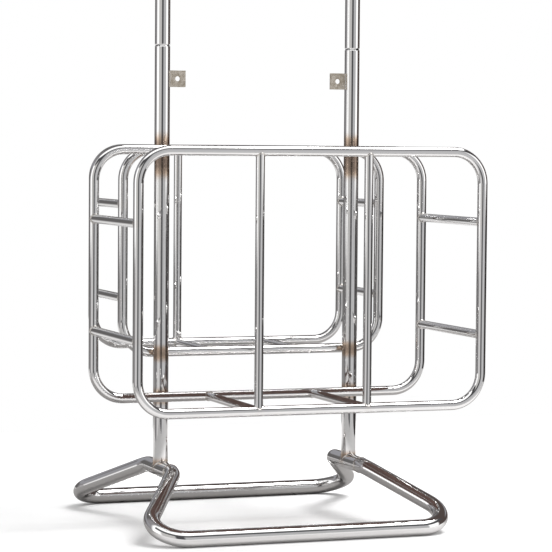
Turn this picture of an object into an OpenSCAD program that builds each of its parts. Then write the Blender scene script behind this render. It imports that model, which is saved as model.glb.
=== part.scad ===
// Cabin bag gauge stand: two open tube cages carried between two posts on a bent tube base.
// Millimetres. X runs to the right, Y to the rear, +Z up. The floor is z = 0, and the origin
// is the middle of the stand's footprint box.

/* [Main cage] */
// Width between the side tube centres
cage_w = 576; // [400:2:700]
// Height between the bottom and top tube centres
cage_h = 405; // [300:5:500]
// Depth between the front and rear hoops
cage_d = 243; // [150:1:320]
// Height of the main cage's bottom tube centres above the floor
cage_floor_z = 211; // [190:1:400]
// Distance between the two upright front bars, and between the floor bars
front_bar_gap = 182; // [80:2:300]
// Distance between the upper and lower side bars
side_bar_gap = 181; // [80:1:240]

/* [Small cage] */
// Width between the side tube centres
small_w = 454; // [370:2:560]
// Height between the bottom and top tube centres
small_h = 334; // [220:2:400]
// Depth between the front and rear hoops
small_d = 174; // [100:2:230]
// Distance between the upright rear bars, and between the floor bars
small_bar_gap = 152; // [60:2:240]
// Distance between the upper and lower side bars
small_side_gap = 154; // [60:2:190]

/* [Cage tubes] */
// Outside diameter of the hoop tube
hoop_od = 16; // [12:0.5:22]
// Wall of the hoop tube
hoop_wall = 1.5; // [1:0.1:3]
// Bend radius of the hoop corners, at the tube centre
hoop_bend = 50; // [30:1:80]
// Outside diameter of the cross bars
bar_od = 14; // [8:0.5:16]
// Wall of the cross bars
bar_wall = 1.5; // [1:0.1:3]
// Gap between two bars that end at one place on a hoop, which their weld fills
weld_gap = 0.2; // [0.1:0.1:1]

/* [Posts] */
// Distance between the post centres
post_gap = 334; // [260:2:380]
// Outside diameter of the posts and of the sign hoop
post_od = 25; // [20:0.5:32]
// Wall of the posts and of the sign hoop
post_wall = 1.5; // [1:0.1:3]
// Height of the joint, where the sign hoop stands on the posts, above the cages' top tube centres
joint_rise = 170; // [120:2:300]
// Depth of the chamfer on each side of the joint
joint_chamfer = 1; // [0.4:0.1:1.4]

/* [Base] */
// Outside diameter of the foot tubes
foot_od = 26; // [22:0.5:34]
// Wall of the foot tubes
foot_wall = 2; // [1.5:0.1:3]
// Distance between the front and rear floor bar centres
base_d = 494; // [380:2:600]
// Width between the points where the leg lines would meet the floor bar line
base_w = 556; // [440:2:700]
// Height of the crest tube centre under each post
crest_z = 91; // [70:1:130]
// Length of each crest between the points where the leg lines would meet it
crest_l = 138; // [100:2:180]
// Bend radius at the crest ends, at the tube centre
crest_bend = 42; // [35:1:60]
// Bend radius at the floor corners, at the tube centre
foot_bend = 48; // [35:1:70]
// Diameter of the vent holes and their plugs
vent_d = 7; // [4:0.5:9]
// Distance of each vent hole from the middle of its floor bar
vent_x = 160; // [60:2:190]
// Turn of each vent hole from straight down, towards the middle of the base
vent_turn = 28; // [22:1:60]

/* [Sign hoop] */
// Height of the sign hoop above the joint
sign_h = 414; // [260:2:700]
// Bend radius of the top corners, at the tube centre
sign_bend = 60; // [40:1:90]
// Length of each spigot below the joint
spigot_down = 90; // [50:5:140]
// Length of each spigot above the joint
spigot_up = 50; // [30:5:90]
// Wall of the spigots
spigot_wall = 2; // [1:0.1:4]
// Gap between a spigot and the inside of its post, on each side
spigot_gap = 0.05; // [0.01:0.01:0.1]

/* [Sign lugs] */
// Length of a lug out from its tube
lug_l = 27; // [18:1:40]
// Height of a lug
lug_h = 27; // [18:1:40]
// Thickness of a lug
lug_t = 3; // [2:0.5:5]
// Diameter of the hole in a lug
lug_hole_d = 8.5; // [4:0.5:11]
// Distance of the lower lugs' holes below the joint
lower_lug_drop = 54; // [24:1:100]
// Gap between the upper lugs and the start of the sign hoop's bends
upper_lug_gap = 2; // [0:0.5:60]

/* [Hidden] */
$fn = 96;
steel = [0.78, 0.78, 0.80];
plate_grey = [0.62, 0.60, 0.55];
plug_black = [0.06, 0.06, 0.06];

// The posts stand off the origin so that the footprint box is centred on it.
hoop_off = post_od / 2 + hoop_od / 2;
reach_front = max(hoop_off + cage_d + hoop_od / 2, base_d / 2 + foot_od / 2);
reach_rear = max(hoop_off + small_d + hoop_od / 2, base_d / 2 + foot_od / 2);
post_y = (reach_front - reach_rear) / 2;

main_front_y = post_y - hoop_off - cage_d;
main_rear_y = post_y - hoop_off;
small_front_y = post_y + hoop_off;
small_rear_y = post_y + hoop_off + small_d;

// The two cages' tops are level.
cage_top_z = cage_floor_z + cage_h;
main_z = cage_top_z - cage_h / 2;
small_z = cage_top_z - small_h / 2;

foot_z = foot_od / 2;
joint_z = cage_top_z + joint_rise;
sign_top_z = joint_z + sign_h - post_od / 2;
lower_lug_z = joint_z - lower_lug_drop;
upper_lug_z = sign_top_z - sign_bend - upper_lug_gap - lug_h / 2;

// Rings and straight tubes. The tube runs from a to b.

module ring(od, wall) {
    difference() {
        circle(d = od);
        circle(d = od - 2 * wall);
    }
}

module turned_to(a, b) {
    d = b - a;
    translate(a)
        rotate([0, acos(d.z / norm(d)), atan2(d.y, d.x)])
            children();
}

module tube(a, b, od, wall) {
    turned_to(a, b)
        linear_extrude(norm(b - a))
            ring(od, wall);
}

module rod(a, b, od) {
    turned_to(a, b)
        cylinder(h = norm(b - a), d = od);
}

// A bent tube follows a path of corner points p, with the bend radius r at each.
// Each straight is drawn along its own line and carries the bend at its far end.

function unit(v) = v / norm(v);
function heading(p, i) = unit(p[i + 1] - p[i]);
function turn(p, i) = acos(heading(p, i - 1) * heading(p, i));
function inward(p, i) = unit(heading(p, i) - heading(p, i - 1) * cos(turn(p, i)));
function setback(p, r, i) = (i == 0 || i == len(p) - 1) ? 0 : r[i] * tan(turn(p, i) / 2);

// The turn about the tube that points the bend at the inside of its corner.
function roll(p, i) =
    let (
        h = heading(p, i - 1),
        lean = acos(h.z),
        about = atan2(h.y, h.x),
        x = [cos(lean) * cos(about), cos(lean) * sin(about), -sin(lean)],
        y = cross(h, x)
    )
    atan2(inward(p, i) * y, inward(p, i) * x);

module elbow(angle, r, od, wall) {
    translate([r, 0, 0])
        rotate([90, 0, 180])
            rotate_extrude(angle = angle)
                translate([r, 0])
                    ring(od, wall);
}

module straight(p, r, od, wall, i) {
    last = (i == len(p) - 2);
    near = setback(p, r, i);
    l = norm(p[i + 1] - p[i]) - near - setback(p, r, i + 1);
    turned_to(p[i], p[i + 1])
        rotate([0, 0, last ? 0 : roll(p, i + 1)])
            translate([0, 0, near]) {
                linear_extrude(l)
                    ring(od, wall);
                if (!last)
                    translate([0, 0, l])
                        elbow(turn(p, i + 1), r[i + 1], od, wall);
            }
}

module bent_tube(p, r, od, wall) {
    for (i = [0 : len(p) - 2])
        straight(p, r, od, wall, i);
}

module both_sides() {
    children();
    mirror([1, 0, 0])
        children();
}

module hoop(y, w, z, h) {
    color(steel)
        translate([0, y, z])
            both_sides()
                bent_tube([[0, 0, -h / 2], [w / 2, 0, -h / 2], [w / 2, 0, h / 2], [0, 0, h / 2]],
                    [0, hoop_bend, hoop_bend, 0], hoop_od, hoop_wall);
}

// Cross bars run from one hoop to the next, and their ends are cut to fit round the hoop tubes.

module coped_bar(a, b, along) {
    color(steel)
        difference() {
            tube(a, b, bar_od, bar_wall);
            rod(a - along * bar_od, a + along * bar_od, hoop_od);
            rod(b - along * bar_od, b + along * bar_od, hoop_od);
        }
}

module upright_bar(x, y, z, h) {
    coped_bar([x, y, z - h / 2], [x, y, z + h / 2], [1, 0, 0]);
}

module side_bar(x, y1, y2, z) {
    coped_bar([x, y1, z], [x, y2, z], [0, 0, 1]);
}

// A floor bar is also notched where an upright bar stands on the same place of the hoop.
module floor_bar(x, y1, y2, z, upright_y) {
    color(steel)
        difference() {
            coped_bar([x, y1, z], [x, y2, z], [1, 0, 0]);
            rod([x, upright_y, z], [x, upright_y, z + bar_od], bar_od + 2 * weld_gap);
        }
}

// Main cage, in front of the posts

module main_front_hoop() {
    hoop(main_front_y, cage_w, main_z, cage_h);
}

module main_rear_hoop() {
    hoop(main_rear_y, cage_w, main_z, cage_h);
}

module main_front_bar(side) {
    upright_bar(side * front_bar_gap / 2, main_front_y, main_z, cage_h);
}

module main_side_bar(side, level) {
    side_bar(side * cage_w / 2, main_front_y, main_rear_y, main_z + level * side_bar_gap / 2);
}

module main_floor_bar(side) {
    floor_bar(side * front_bar_gap / 2, main_front_y, main_rear_y, main_z - cage_h / 2, main_front_y);
}

// Small cage, behind the posts

module small_front_hoop() {
    hoop(small_front_y, small_w, small_z, small_h);
}

module small_rear_hoop() {
    hoop(small_rear_y, small_w, small_z, small_h);
}

module small_rear_bar(side) {
    upright_bar(side * small_bar_gap / 2, small_rear_y, small_z, small_h);
}

module small_side_bar(side, level) {
    side_bar(side * small_w / 2, small_front_y, small_rear_y, small_z + level * small_side_gap / 2);
}

module small_floor_bar(side) {
    floor_bar(side * small_bar_gap / 2, small_front_y, small_rear_y, small_z - small_h / 2, small_rear_y);
}

// Posts, cut at the bottom to sit over the crests. The groove is cut round the joint, half
// from each post and half from the sign hoop, and is twice as wide as it is deep on each side.

module joint_groove(side) {
    apex = post_od / 2 - joint_chamfer;
    translate([side * post_gap / 2, post_y, joint_z])
        rotate_extrude()
            polygon([[apex, 0], [apex + 2 * joint_chamfer, 4 * joint_chamfer],
                [apex + 2 * joint_chamfer, -4 * joint_chamfer]]);
}

module post(side) {
    foot = [side * post_gap / 2, post_y, crest_z];
    color(steel)
        difference() {
            tube(foot, [foot.x, foot.y, joint_z], post_od, post_wall);
            rod(foot - [0, post_od, 0], foot + [0, post_od, 0], foot_od);
            joint_groove(side);
        }
}

// Base: a floor bar at each end, four legs that rise inwards from it, and two crests
// that carry the posts. Each piece ends where a bend starts or stops.

foot_bends = [0, foot_bend, crest_bend, 0];

function foot_path(end) = [
    [0, post_y + end * base_d / 2, foot_z],
    [base_w / 2, post_y + end * base_d / 2, foot_z],
    [post_gap / 2, post_y + end * crest_l / 2, crest_z],
    [post_gap / 2, post_y, crest_z]
];

module on_side(side) {
    mirror([side < 0 ? 1 : 0, 0, 0])
        children();
}

module vent_holes(end) {
    for (side = [-1, 1])
        translate([side * vent_x, post_y + end * base_d / 2, foot_z])
            rotate([180 - end * vent_turn, 0, 0])
                children();
}

module floor_tube(end) {
    color(steel)
        difference() {
            both_sides()
                straight(foot_path(end), foot_bends, foot_od, foot_wall, 0);
            vent_holes(end)
                cylinder(h = foot_od, d = vent_d);
        }
}

module leg(end, side) {
    color(steel)
        on_side(side)
            straight(foot_path(end), foot_bends, foot_od, foot_wall, 1);
}

module crest(side) {
    x = side * post_gap / 2;
    half = crest_l / 2 - setback(foot_path(1), foot_bends, 2);
    color(steel)
        tube([x, post_y - half, crest_z], [x, post_y + half, crest_z], foot_od, foot_wall);
}

module vent_plugs() {
    color(plug_black)
        for (end = [-1, 1])
            vent_holes(end)
                translate([0, 0, foot_od / 2 - foot_wall])
                    cylinder(h = 0.75 * foot_wall, d = vent_d);
}

// Sign hoop, lifted off the posts by its spigots

module sign_hoop() {
    x = post_gap / 2;
    color(steel)
        difference() {
            both_sides()
                bent_tube([[0, post_y, sign_top_z], [x, post_y, sign_top_z], [x, post_y, joint_z]],
                    [0, sign_bend, 0], post_od, post_wall);
            joint_groove(-1);
            joint_groove(1);
        }
}

module spigot(side) {
    bore = post_od - 2 * post_wall;
    color(steel)
        translate([side * post_gap / 2, post_y, joint_z])
            difference() {
                union() {
                    cylinder(h = spigot_up, d = bore);
                    translate([0, 0, -spigot_down])
                        cylinder(h = spigot_down, d = bore - 2 * spigot_gap);
                }
                translate([0, 0, -spigot_down - 1])
                    cylinder(h = spigot_down + spigot_up + 2, d = bore - 2 * spigot_gap - 2 * spigot_wall);
            }
}

// Sign lugs on the inner sides of the posts and of the sign hoop

module lug(side, z) {
    x = post_gap / 2 - post_od / 2;
    color(plate_grey)
        translate([side * x, post_y, z])
            difference() {
                translate([side * (post_od / 2 - lug_l) / 2, 0, 0])
                    cube([lug_l + post_od / 2, lug_t, lug_h], center = true);
                translate([side * post_od / 2, 0, -lug_h])
                    cylinder(h = 2 * lug_h, d = post_od);
                translate([-side * lug_l / 2, lug_t, 0])
                    rotate([90, 0, 0])
                        cylinder(h = 2 * lug_t, d = lug_hole_d);
            }
}

module lower_lug(side) {
    lug(side, lower_lug_z);
}

module upper_lug(side) {
    lug(side, upper_lug_z);
}

main_front_hoop();
main_rear_hoop();
main_front_bar(-1);  // main_front_bar_left
main_front_bar(1);  // main_front_bar_right
main_side_bar(-1, 1);  // main_side_bar_left_upper
main_side_bar(-1, -1);  // main_side_bar_left_lower
main_side_bar(1, 1);  // main_side_bar_right_upper
main_side_bar(1, -1);  // main_side_bar_right_lower
main_floor_bar(-1);  // main_floor_bar_left
main_floor_bar(1);  // main_floor_bar_right
small_front_hoop();
small_rear_hoop();
small_rear_bar(-1);  // small_rear_bar_left
small_rear_bar(1);  // small_rear_bar_right
small_side_bar(-1, 1);  // small_side_bar_left_upper
small_side_bar(-1, -1);  // small_side_bar_left_lower
small_side_bar(1, 1);  // small_side_bar_right_upper
small_side_bar(1, -1);  // small_side_bar_right_lower
small_floor_bar(-1);  // small_floor_bar_left
small_floor_bar(1);  // small_floor_bar_right
post(-1);  // post_left
post(1);  // post_right
floor_tube(-1);  // front_floor_tube
floor_tube(1);  // rear_floor_tube
leg(-1, -1);  // front_leg_left
leg(-1, 1);  // front_leg_right
leg(1, -1);  // rear_leg_left
leg(1, 1);  // rear_leg_right
crest(-1);  // crest_left
crest(1);  // crest_right
vent_plugs();
sign_hoop();
spigot(-1);  // spigot_left
spigot(1);  // spigot_right
lower_lug(-1);  // lower_lug_left
lower_lug(1);  // lower_lug_right
upper_lug(-1);  // upper_lug_left
upper_lug(1);  // upper_lug_right
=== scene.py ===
from math import pi, radians, sin, sqrt

import bpy
from mathutils import Matrix, Vector


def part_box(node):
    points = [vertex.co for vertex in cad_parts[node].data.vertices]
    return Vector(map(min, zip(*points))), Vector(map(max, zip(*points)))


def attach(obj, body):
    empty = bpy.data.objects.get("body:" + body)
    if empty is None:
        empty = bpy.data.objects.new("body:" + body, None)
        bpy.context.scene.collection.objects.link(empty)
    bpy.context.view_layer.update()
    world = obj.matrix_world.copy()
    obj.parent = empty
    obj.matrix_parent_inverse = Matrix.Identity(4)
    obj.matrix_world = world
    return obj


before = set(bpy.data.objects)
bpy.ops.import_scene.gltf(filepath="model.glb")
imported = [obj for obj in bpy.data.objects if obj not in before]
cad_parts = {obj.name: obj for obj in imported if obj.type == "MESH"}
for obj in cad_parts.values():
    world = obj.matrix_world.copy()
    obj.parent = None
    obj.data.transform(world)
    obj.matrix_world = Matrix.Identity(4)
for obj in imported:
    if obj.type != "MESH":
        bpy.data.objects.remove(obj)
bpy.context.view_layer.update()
bpy.ops.object.select_all(action="DESELECT")


# Camera. A long lens from the front left, a little above the middle of the cages and
# tipped down, with its right side a touch high.
camera_place = (-1.404, -3.881, 0.632)
heading = radians(20.30)
dip = radians(3.116)
tilt = radians(0.451)

bpy.ops.object.camera_add(location=camera_place)
camera = bpy.context.object
aim = (
    Matrix.Rotation(-heading, 4, "Z")
    @ Matrix.Rotation(pi / 2 - dip, 4, "X")
    @ Matrix.Rotation(tilt, 4, "Z")
)
camera.rotation_euler = aim.to_euler()
camera.data.sensor_width = 36
camera.data.lens = 162.1
bpy.context.scene.camera = camera


# Shader writing. A Wire is a socket that can be used in sums, and a Shader is a node
# tree that hands wires out.
class Wire:
    def __init__(self, shader, socket):
        self.shader = shader
        self.socket = socket

    def sum(self, operation, other, swap=False):
        a, b = (other, self) if swap else (self, other)
        return self.shader.node("ShaderNodeMath", {0: a, 1: b}, operation=operation)

    def __add__(self, other):
        return self.sum("ADD", other)

    def __radd__(self, other):
        return self.sum("ADD", other, swap=True)

    def __sub__(self, other):
        return self.sum("SUBTRACT", other)

    def __rsub__(self, other):
        return self.sum("SUBTRACT", other, swap=True)

    def __mul__(self, other):
        return self.sum("MULTIPLY", other)

    def __rmul__(self, other):
        return self.sum("MULTIPLY", other, swap=True)

    def __truediv__(self, other):
        return self.sum("DIVIDE", other)

    def __pow__(self, other):
        return self.sum("POWER", other)

    def __abs__(self):
        return self.sum("ABSOLUTE", 0.0)

    def most(self, other):
        return self.sum("MAXIMUM", other)

    def least(self, other):
        return self.sum("MINIMUM", other)

    def rise(self, start, stop):
        """0 below start, 1 above stop, and smooth between them."""
        return self.shader.node(
            "ShaderNodeMapRange",
            {"Value": self, "From Min": start, "From Max": stop},
            interpolation_type="SMOOTHSTEP",
        )


class Shader:
    def __init__(self, tree):
        self.tree = tree
        tree.nodes.clear()

    def node(self, kind, sockets=None, out=0, stops=None, **settings):
        new = self.tree.nodes.new(kind)
        for name, value in settings.items():
            setattr(new, name, value)
        if stops:
            ramp = new.color_ramp
            while len(ramp.elements) < len(stops):
                ramp.elements.new(0.5)
            for element, (place, colour) in zip(ramp.elements, stops):
                element.position = place
                element.color = (*colour, 1)
        for name, value in (sockets or {}).items():
            if isinstance(value, Wire):
                self.tree.links.new(value.socket, new.inputs[name])
            else:
                new.inputs[name].default_value = value
        return Wire(self, new.outputs[out]) if new.outputs else None

    def split(self, vector):
        first = self.node("ShaderNodeSeparateXYZ", {0: vector})
        return [Wire(self, o) for o in first.socket.node.outputs]

    def noise(self, place, scale, detail=2.0):
        return self.node("ShaderNodeTexNoise", {"Vector": place, "Scale": scale, "Detail": detail})

    def blend(self, amount, first, second):
        sockets = {0: amount, 6: first, 7: second}
        return self.node("ShaderNodeMix", sockets, out=2, data_type="RGBA")

    def stretch(self, place, scale):
        return self.node("ShaderNodeVectorMath", {0: place, 1: scale}, operation="MULTIPLY")


def start_material(name):
    material = bpy.data.materials.new(name)
    material.use_nodes = True
    shader = Shader(material.node_tree)
    place = shader.node("ShaderNodeTexCoord", out=3)
    return material, shader, place


def finish_material(shader, surface, bumps, strength, height):
    """Puts a Principled surface on the material, with bumps as its height in metres."""
    relief = {"Strength": strength, "Distance": height, "Height": bumps}
    normal = shader.node("ShaderNodeBump", relief)
    skin = shader.node("ShaderNodeBsdfPrincipled", {**surface, "Normal": normal})
    shader.node("ShaderNodeOutputMaterial", {"Surface": skin})


# Studio. A pale floor in a white room, where reflections meet other colours than the
# camera sees. Polished tube mirrors these as lengthwise bands: soft boxes with a dark gap
# between them, a white roof with a dark edge in front, and dimmer walls behind.
floor_size = 2.6


def box(node):
    low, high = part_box(node)
    return Vector(low), Vector(high)


bpy.ops.mesh.primitive_plane_add(size=floor_size)
floor = bpy.context.object
floor.name = "studio_floor"
floor_paint, shader, place = start_material("studio_floor")
mirrored = shader.node("ShaderNodeLightPath", out=3)
reach = shader.node("ShaderNodeVectorMath", {0: place}, out=1, operation="LENGTH")
y = shader.split(place)[1]
# Painted shade and painted reflection: mirrored rays see the floor pale in front of the base, dark
# under the stand behind the front tube, mid-dark further out at the sides and front, and pale far
# behind.
painted_shade_behind_front_tube, far_behind = y.rise(-0.27, -0.15), y.rise(0.3, 0.7)
beyond_stand, beyond_base = reach.rise(0.75, 1.05), reach.rise(0.45, 1.2)
shade_under_stand = shader.blend(painted_shade_behind_front_tube, (0.74, 0.73, 0.73, 1), (0.30, 0.29, 0.285, 1))
around = shader.blend(far_behind, (0.40, 0.395, 0.395, 1), (0.72, 0.71, 0.71, 1))
reflected = shader.blend(beyond_stand, shade_under_stand, around)
fade = beyond_base * (1.0 - mirrored)
finish_material(
    shader,
    {
        "Base Color": shader.blend(mirrored, (0.94, 0.94, 0.94, 1), reflected),
        "Roughness": 0.8,
        "Emission Color": shader.blend(fade, (0.0, 0.0, 0.0, 1), (0.4, 0.4, 0.4, 1)),
        "Emission Strength": 1.0,
    },
    shader.noise(place, 40.0),
    0.02,
    0.001,
)
floor.data.materials.append(floor_paint)

# Painted reflection: a dark card lies over the main cage's floor bars, out of the camera's sight
# and seen only from below. The base mirrors it as warm dark lines, a painted reflection of a bag in
# the cage.
floor_bar_low, floor_bar_high = box("main_floor_bar_right")
flag_width, flag_lift = 0.47, 0.012
bpy.ops.mesh.primitive_plane_add(
    size=1,
    location=(0, (floor_bar_low.y + floor_bar_high.y) / 2, floor_bar_high.z + flag_lift),
)
flag = bpy.context.object
flag.name = "studio_flag"
flag.scale = (flag_width, floor_bar_high.y - floor_bar_low.y, 1)
bpy.ops.object.transform_apply()
flag.visible_camera = False
flag.visible_shadow = False
painted_reflection_card, shader, place = start_material("studio_flag")
from_below = shader.node("ShaderNodeNewGeometry", out=6)
finish_material(
    shader,
    {"Base Color": (0.11, 0.065, 0.055, 1), "Roughness": 0.8, "Alpha": from_below},
    shader.noise(place, 40.0),
    0.02,
    0.001,
)
flag.data.materials.append(painted_reflection_card)

scene = bpy.context.scene
scene.view_settings.view_transform = "Standard"
scene.world = bpy.data.worlds.new("studio")
scene.world.use_nodes = True
shader = Shader(scene.world.node_tree)
east, north, up = shader.split(shader.node("ShaderNodeTexCoord", out=0))
turned = shader.node("ShaderNodeMath", {0: east, 1: north * -1.0}, operation="ARCTAN2")
bearing = turned / (2 * pi) + 0.5
soft_box, left_wall, right_wall = (1.35,) * 3, (0.60, 0.59, 0.58), (0.52, 0.52, 0.53)
gap, left_room, right_room = (0.08, 0.08, 0.085), (0.30, 0.29, 0.30), (0.09, 0.07, 0.065)
back_room, low_left, low_right = (0.14, 0.135, 0.135), (0.70, 0.69, 0.69), (0.60, 0.60, 0.61)
dim_gap, dark_room, backdrop = (0.11, 0.11, 0.115), (0.035, 0.03, 0.03), (0.82, 0.81, 0.81, 1)
back_haze = (0.34, 0.34, 0.365)
walls = shader.node(
    "ShaderNodeValToRGB",
    {0: bearing},
    stops=[
        (0.000, back_room), (0.090, back_room), (0.130, left_room), (0.190, left_room),
        (0.220, soft_box), (0.290, soft_box), (0.310, left_wall), (0.415, left_wall),
        (0.430, gap), (0.485, gap), (0.500, right_wall), (0.600, right_wall),
        (0.615, soft_box), (0.690, soft_box), (0.705, right_room), (0.920, right_room),
        (0.960, back_room),
    ],
)
low_walls = shader.node(
    "ShaderNodeValToRGB",
    {0: bearing},
    stops=[
        (0.000, back_room), (0.200, back_room), (0.250, left_room), (0.310, low_left),
        (0.380, low_left), (0.430, dim_gap), (0.480, dim_gap), (0.515, low_right),
        (0.620, low_right), (0.670, dark_room), (0.920, dark_room), (0.960, back_room),
    ],
)
down = up * -1.0
in_front = (north * -1.0).rise(-0.10, -0.02)
tent = shader.blend((down + east * 0.013).rise(0.02, 0.045), walls, low_walls)
tent = shader.blend(north.rise(0.2, 0.5) * down.rise(0.03, 0.24), tent, backdrop)
haze = up.rise(0.22, 0.30) * (1.0 - up.rise(0.42, 0.50))
tent = shader.blend(north.rise(0.2, 0.5) * haze, tent, (*back_haze, 1))
tent = shader.blend(in_front * up.rise(0.49, 0.53), tent, (*gap, 1))
tent = shader.blend(in_front * up.rise(0.74, 0.79), tent, (*soft_box, 1))
mirrored = shader.node("ShaderNodeLightPath", out=3)
seen = shader.node("ShaderNodeLightPath", out=0)
fill = shader.blend(seen, (0.78, 0.78, 0.78, 1), (1.0, 1.0, 1.0, 1))
light = shader.blend(mirrored, fill, tent)
glow = shader.node("ShaderNodeBackground", {"Color": light, "Strength": 1.0})
shader.node("ShaderNodeOutputWorld", {"Surface": glow})

bpy.ops.object.light_add(type="AREA", location=(1.1, -0.3, 3.0))
key = bpy.context.object
key.data.size = 1.5
key.data.energy = 80
key.rotation_euler = (Vector((0, 0, 0.3)) - key.location).to_track_quat("-Z", "Y").to_euler()


# Cage tubes. Round stainless tube, polished to a mirror: hoops bent at the corners, and
# lighter bars cut to fit round them. The polish keeps faint waves, wipe marks and a
# straw tint beside each weld.
steel_white, straw = (0.84, 0.835, 0.83, 1), (0.62, 0.48, 0.37, 1)
# The last colour is the near-black of the painted shade in the post's joint groove.
heat_brown, seam_painted_shade = (0.27, 0.205, 0.165, 1), (0.02, 0.018, 0.016, 1)
bar_tint_reach = 0.014


def polished(name, welds, centre, tint=0.5, roughness=0.045, seam=None):
    """Welds are (distance from the middle, y, height from the centre, reach of the tint)."""
    material, shader, place = start_material(name)
    x, y, z = shader.split(place)
    across, rise = abs(x), abs(z - centre)
    heat = None
    for weld in welds:
        gap = ((across - weld[0]) ** 2.0 + (y - weld[1]) ** 2.0 + (rise - weld[2]) ** 2.0) ** 0.5
        near = 1.0 - gap.rise(weld[3] * 0.35, weld[3])
        heat = near if heat is None else heat.most(near)
    heat = (heat * (0.7 + 0.6 * shader.noise(place, 60.0, 4.0)) * tint).least(1.0)
    wipe = shader.noise(shader.stretch(place, (30.0, 30.0, 30.0)), 1.0, 6.0).rise(0.5, 0.8)
    colour = shader.blend(heat.rise(0.0, 0.65), steel_white, straw)
    colour = shader.blend(heat.rise(0.4, 1.0), colour, heat_brown)
    # Painted shade: a near-black ring at the seam height darkens the joint groove between post and
    # sign hoop.
    if seam:
        seam_shade_mask = 1.0 - abs(z - seam).rise(0.0003, 0.0009)
        colour = shader.blend(seam_shade_mask * 0.9, colour, seam_painted_shade)
    finish_material(
        shader,
        {"Base Color": colour, "Metallic": 1.0, "Roughness": roughness + wipe * 0.05 + heat * 0.15},
        shader.noise(place, 22.0, 1.0) + shader.noise(place, 400.0, 2.0) * 0.004,
        0.08,
        0.0006,
    )
    return material


def middle(node):
    low, high = box(node)
    return (low + high) / 2


def dress(nodes, material):
    for node in nodes:
        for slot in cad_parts[node].material_slots:
            slot.material = material


class Hoop:
    """Centre lines of a hoop, read from its node."""

    def __init__(self, node):
        low, high = box(node)
        self.radius = (high.y - low.y) / 2
        self.y = (low.y + high.y) / 2
        self.x = high.x - self.radius
        self.top = high.z - self.radius
        self.bottom = low.z + self.radius
        self.middle = (self.top + self.bottom) / 2
        self.half = (self.top - self.bottom) / 2


class Cage:
    """Two hoops, and the places where its bars meet them."""

    def __init__(self, name, upright_hoop):
        self.name = name
        self.front, self.rear = Hoop(name + "_front_hoop"), Hoop(name + "_rear_hoop")
        self.barred, bar = upright_hoop
        self.upright = middle(bar).x
        self.side = middle(name + "_side_bar_right_upper").z - self.front.middle

    def tints(self, reach):
        uprights = [(self.upright, hoop.y, hoop.half, reach) for hoop in (self.front, self.rear)]
        sides = [(self.front.x, hoop.y, self.side, reach) for hoop in (self.front, self.rear)]
        return uprights + sides


main_cage = Cage("main", ("front", "main_front_bar_right"))
small_cage = Cage("small", ("rear", "small_rear_bar_right"))
for cage in (main_cage, small_cage):
    welds = cage.tints(bar_tint_reach)
    steel = polished(f"polished_{cage.name}_cage", welds, cage.front.middle, tint=0.14)
    dress([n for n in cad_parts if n.startswith(cage.name + "_")], steel)


# Bar welds. Each bar end is welded all round where it meets the hoop, in a thin bead of
# small overlapping drops. One bead is laid on a stub of tube, and copied to the others.
bar_low, bar_high = box("main_front_bar_right")
bar_radius = (bar_high.x - bar_low.x) / 2
drop_pitch = 0.0011
bead_clearance = 0.0003
line_height = 0.03
bar_bead_width = 0.0022

weld_metal, shader, place = start_material("weld_metal")
mottle = shader.noise(place, 900.0, 3.0)
finish_material(
    shader,
    {
        "Base Color": shader.blend(
            mottle.rise(0.35, 0.7), (0.82, 0.80, 0.78, 1), (0.58, 0.54, 0.49, 1)
        ),
        "Metallic": 1.0,
        "Roughness": 0.16 + mottle * 0.14,
    },
    mottle,
    0.3,
    0.0002,
)


def pick(piece):
    bpy.ops.object.select_all(action="DESELECT")
    piece.select_set(True)
    bpy.context.view_layer.objects.active = piece


def cut_away(piece, unwanted):
    """Deletes the points whose place is unwanted."""
    bpy.ops.object.mode_set(mode="EDIT")
    bpy.ops.mesh.select_mode(type="VERT")
    bpy.ops.mesh.select_all(action="DESELECT")
    bpy.ops.object.mode_set(mode="OBJECT")
    for point in piece.data.vertices:
        point.select = unwanted(point.co)
    bpy.ops.object.mode_set(mode="EDIT")
    bpy.ops.mesh.delete(type="VERT")
    bpy.ops.object.mode_set(mode="OBJECT")


def weld_line(radius, centre=(0, 0, 0)):
    """A round line that a bead is laid along, with two points to each drop."""
    count = 2 * round(pi * radius / drop_pitch)
    bpy.ops.object.select_all(action="DESELECT")
    bpy.ops.mesh.primitive_circle_add(vertices=count, radius=radius, location=centre)
    bpy.ops.object.transform_apply()
    return bpy.context.object


def settle_on(line, tube_radius, along):
    """Drops a flat line down onto a tube that lies along X or Y through the origin."""
    turn = (0, pi / 2, 0) if along == "X" else (pi / 2, 0, 0)
    bpy.ops.mesh.primitive_cylinder_add(vertices=256, radius=tube_radius, depth=0.1, rotation=turn)
    tube = bpy.context.object
    pick(line)
    drop = line.modifiers.new("drop", "SHRINKWRAP")
    drop.target = tube
    drop.wrap_method = "PROJECT"
    drop.use_project_z = True
    drop.use_positive_direction = False
    drop.use_negative_direction = True
    bpy.ops.object.modifier_apply(modifier=drop.name)
    bpy.data.objects.remove(tube)


def lay_bead(line, name, width):
    """Turns a line into a bead of weld, with a ripple at each drop and drawn-out ends."""
    pick(line)
    bpy.ops.object.convert(target="CURVE")
    bead = bpy.context.object
    bead.data.bevel_depth = width / 2
    bead.data.bevel_resolution = 3
    bead.data.use_fill_caps = True
    for run in bead.data.splines:
        last = len(run.points) - 1
        for i, point in enumerate(run.points):
            ends = 1.0 if run.use_cyclic_u else sqrt(max(1 - (2 * i / last - 1) ** 4, 0.02))
            point.radius = ends * (1.1 if i % 2 else 0.92)
    bpy.ops.object.convert(target="MESH")
    bead = bpy.context.object
    bpy.ops.object.shade_smooth()
    bead.name = name
    bead.data.materials.clear()
    bead.data.materials.append(weld_metal)
    return bead


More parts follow.
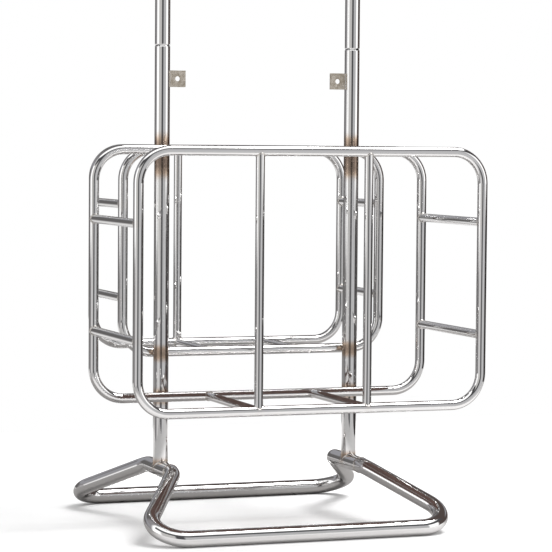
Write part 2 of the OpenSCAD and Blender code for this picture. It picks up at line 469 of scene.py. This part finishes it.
def copy_to(piece, place, out=Vector((0, 0, 1)), along=Vector((1, 0, 0))):
    """A copy with its Z turned to out and its X to along, and its origin put at place."""
    new = piece.copy()
    new.data = piece.data.copy()
    scene.collection.objects.link(new)
    turn = Matrix((along, out.cross(along), out)).transposed().to_4x4()
    new.matrix_world = Matrix.Translation(place) @ turn
    pick(new)
    bpy.ops.object.transform_apply()
    return new


def join_as(pieces, name, body="stand"):
    pick(pieces[0])
    for piece in pieces[1:]:
        piece.select_set(True)
    bpy.ops.object.join()
    joined = bpy.context.object
    joined.name = name
    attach(joined, body)
    return joined


across, back, upward = Vector((1, 0, 0)), Vector((0, 1, 0)), Vector((0, 0, 1))
saddle_line = weld_line(bar_radius + bead_clearance, (0, 0, line_height))
settle_on(saddle_line, main_cage.front.radius, "X")
saddle = lay_bead(saddle_line, "saddle", bar_bead_width)
for cage in (main_cage, small_cage):
    beads = []
    barred = cage.front if cage.barred == "front" else cage.rear
    for side in (-1, 1):
        upright_x = side * cage.upright
        beads.append(copy_to(saddle, (upright_x, barred.y, barred.bottom), upward, across))
        beads.append(copy_to(saddle, (upright_x, barred.y, barred.top), -upward, across))
        for hoop, inward in ((cage.front, back), (cage.rear, -back)):
            beads.append(copy_to(saddle, (upright_x, hoop.y, hoop.bottom), inward, across))
            for level in (-1, 1):
                height = hoop.middle + level * cage.side
                beads.append(copy_to(saddle, (side * hoop.x, hoop.y, height), inward, upward))
    join_as(beads, cage.name + "_bar_welds")
bpy.data.objects.remove(saddle)


# Posts and sign hoop. Heavier tube of the same polish. Both cages are welded to the
# posts where their hoops cross them, and the heat has browned the posts there.
post_low, post_high = box("post_right")
post_radius = (post_high.x - post_low.x) / 2
post_x, post_y = (post_low.x + post_high.x) / 2, (post_low.y + post_high.y) / 2
broad_reach, small_reach = 0.050, 0.024
broad_drop = 0.010
crossing_bead_width, crossing_clearance, crossing_lift = 0.0036, 0.0006, 0.0056
crossing_half_turn = radians(30)
post_steel = polished(
    "polished_post",
    [
        (post_x, post_y, main_cage.front.top - broad_drop, broad_reach),
        (post_x, post_y, small_cage.front.bottom, small_reach),
        (post_x, post_y, main_cage.front.bottom, small_reach),
        (post_x, post_y, post_low.z, small_reach),
    ],
    0.0,
    tint=0.9,
    seam=post_high.z,
)
dress(["post_left", "post_right", "sign_hoop"], post_steel)


def crossing_beads(hoop, facing):
    """Short beads over and under the hoop tube, where it crosses the front or back of a post."""
    reach = post_radius * sin(crossing_half_turn)
    line = weld_line(post_radius + crossing_clearance, (0, 0, crossing_lift))
    cut_away(line, lambda point: point.y > 0 or abs(point.x) > reach)
    bead = lay_bead(line, "crossing", crossing_bead_width)
    made = []
    for side in (-1, 1):
        for height in (hoop.bottom, hoop.top):
            for out in (upward, -upward):
                along = across * facing if out.z > 0 else across * -facing
                made.append(copy_to(bead, (side * post_x, post_y, height), out, along))
    bpy.data.objects.remove(bead)
    return made


post_welds = crossing_beads(main_cage.rear, 1) + crossing_beads(small_cage.front, -1)
join_as(post_welds, "post_crossing_welds")


# Base. The heaviest tube, bent and laid on the floor. Each post stands on the straight
# top of one bend, welded all round, and the front leg is butt-welded on beside it.
crest_low, crest_high = box("crest_right")
crest_radius = (crest_high.x - crest_low.x) / 2
crest_z = (crest_low.z + crest_high.z) / 2
foot_tint_reach, butt_tint_reach = 0.022, 0.018
foot_bead_width, butt_bead_width, butt_sink = 0.0032, 0.0024, 0.0002
base_steel = polished(
    "polished_base",
    [
        (post_x, post_y, post_low.z, foot_tint_reach),
        (post_x, crest_low.y, crest_z, butt_tint_reach),
    ],
    0.0,
    tint=0.45,
    roughness=0.06,
)
base_marks = ("floor_tube", "_leg_", "crest_")
dress([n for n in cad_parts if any(mark in n for mark in base_marks)], base_steel)

foot_line = weld_line(post_radius + bead_clearance, (0, 0, line_height))
settle_on(foot_line, crest_radius, "Y")
foot_bead = lay_bead(foot_line, "foot", foot_bead_width)
butt_bead = lay_bead(weld_line(crest_radius - butt_sink), "butt", butt_bead_width)
base_welds = []
for side in (-1, 1):
    base_welds.append(copy_to(foot_bead, (side * post_x, post_y, crest_z)))
    base_welds.append(copy_to(butt_bead, (side * post_x, crest_low.y, crest_z), back, across))
bpy.data.objects.remove(foot_bead)
bpy.data.objects.remove(butt_bead)
join_as(base_welds, "base_welds")


# Spigots. Plain drawn tube inside the joints, seen only when the sign hoop is lifted.
plain_steel = polished("plain_spigot", [(post_x, post_y, 0.0, 0.02)], 0.0, roughness=0.25)
dress(["spigot_left", "spigot_right"], plain_steel)


# Sign lugs. Square tabs cut from dull rolled plate, drilled, and tacked to the inner side
# of each tube with a bead down the front and the back.
lug_plate, shader, place = start_material("dull_plate")
mill = shader.noise(shader.stretch(place, (60.0, 60.0, 900.0)), 1.0, 3.0)
spots = shader.noise(place, 150.0, 4.0)
finish_material(
    shader,
    {
        "Base Color": shader.blend(
            spots.rise(0.35, 0.65), (0.40, 0.35, 0.28, 1), (0.58, 0.53, 0.46, 1)
        ),
        "Metallic": 0.7,
        "Roughness": 0.42 + mill * 0.15,
    },
    mill,
    0.2,
    0.0002,
)
dress([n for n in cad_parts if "_lug_" in n], lug_plate)

for level, body in (("lower", "stand"), ("upper", "sign_hoop")):
    lug_low, lug_high = box(level + "_lug_right")
    lug_height, lug_half = lug_high.z - lug_low.z, (lug_high.y - lug_low.y) / 2
    seam_x = post_x - sqrt(post_radius**2 - lug_half**2)
    bpy.ops.object.select_all(action="DESELECT")
    bpy.ops.mesh.primitive_plane_add(
        size=lug_height, location=(lug_height / 2, 0, 0), rotation=(pi / 2, 0, 0)
    )
    bpy.ops.object.transform_apply()
    edge = bpy.context.object
    cut_away(edge, lambda point: point.x > lug_height / 2)
    bpy.ops.object.mode_set(mode="EDIT")
    bpy.ops.mesh.select_all(action="SELECT")
    bpy.ops.mesh.subdivide(number_cuts=2 * round(lug_height / drop_pitch / 2))
    bpy.ops.object.mode_set(mode="OBJECT")
    seam = lay_bead(edge, "seam", bar_bead_width)
    height = (lug_low.z + lug_high.z) / 2
    places = [(i * seam_x, post_y + j * lug_half, height) for i in (-1, 1) for j in (-1, 1)]
    lug_welds = [copy_to(seam, place) for place in places]
    bpy.data.objects.remove(seam)
    join_as(lug_welds, level + "_lug_welds", body)


# Vent plugs. Matt black caps pressed into the drain holes under the floor bars.
black, shader, place = start_material("black_plug")
finish_material(
    shader,
    {"Base Color": (0.012, 0.012, 0.012, 1), "Roughness": 0.55 + shader.noise(place, 300.0) * 0.1},
    shader.noise(place, 1500.0),
    0.1,
    0.0001,
)
dress(["vent_plugs"], black)
